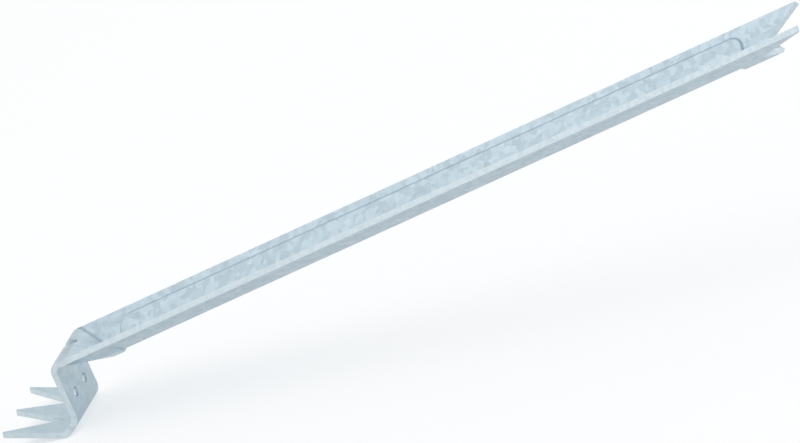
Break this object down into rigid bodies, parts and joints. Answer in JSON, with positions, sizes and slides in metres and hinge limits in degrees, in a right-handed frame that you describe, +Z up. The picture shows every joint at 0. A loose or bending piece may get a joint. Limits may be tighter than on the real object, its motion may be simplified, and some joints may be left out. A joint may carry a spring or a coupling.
{
  "type": "steel joist bridging",
  "caption": "Folded sheet-steel bridging strut: V channel with pressed panel, nailing tab, and pronged ends that drive into the joists' faces.",
  "frame": {"origin": "midway between the two nail holes, on the face of the tab that lies against the joist", "axes": "+X from the joist along the span, along the nails' axis; Y across the strip, along the row of nail holes; +Z up the joist's face"},
  "size_m": [0.4341, 0.038, 0.1162],
  "materials": {
    "galvanised_steel": "galvanised, satin"
  },
  "bodies": {
    "root": {"bridging_strut": "galvanised_steel"}
  },
  "joints": []
}
